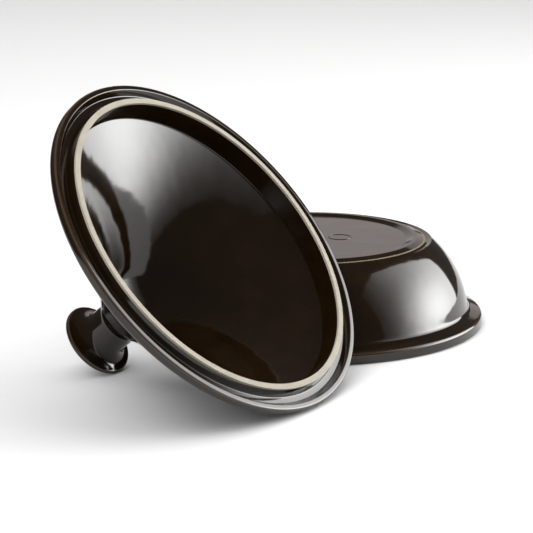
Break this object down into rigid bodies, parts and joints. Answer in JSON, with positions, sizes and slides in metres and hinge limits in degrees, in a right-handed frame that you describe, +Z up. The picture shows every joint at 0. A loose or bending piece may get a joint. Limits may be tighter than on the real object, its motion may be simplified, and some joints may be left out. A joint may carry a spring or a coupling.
{
  "type": "tagine",
  "caption": "Tagine in dark glazed stoneware: a wide conical lid with a flared knob lies on its side in front of its upturned shallow round dish.",
  "frame": {"origin": "On the surface the part stands on, under the middle of the bounding box of the lid and the dish together.", "axes": "+Z is up, along the dish's axis. The lid lies towards -Y with its mouth turned towards +X, -Y and up; the upturned dish stands towards +Y."},
  "size_m": [0.3728, 0.5342, 0.2465],
  "materials": {
    "dark_glaze": "gloss",
    "bare_clay": "matte"
  },
  "bodies": {
    "dish": {"dish_bowl": "dark_glaze", "dish_bare_band": "bare_clay"},
    "lid": {"lid_cone": "dark_glaze", "lid_bare_rim": "bare_clay", "lid_knob": "dark_glaze"}
  },
  "joints": [
    {"name": "lid_lift", "type": "slide", "parent": "dish", "child": "lid", "axis": [0, 0, 1], "range_m": [0, 0.25]}
  ]
}
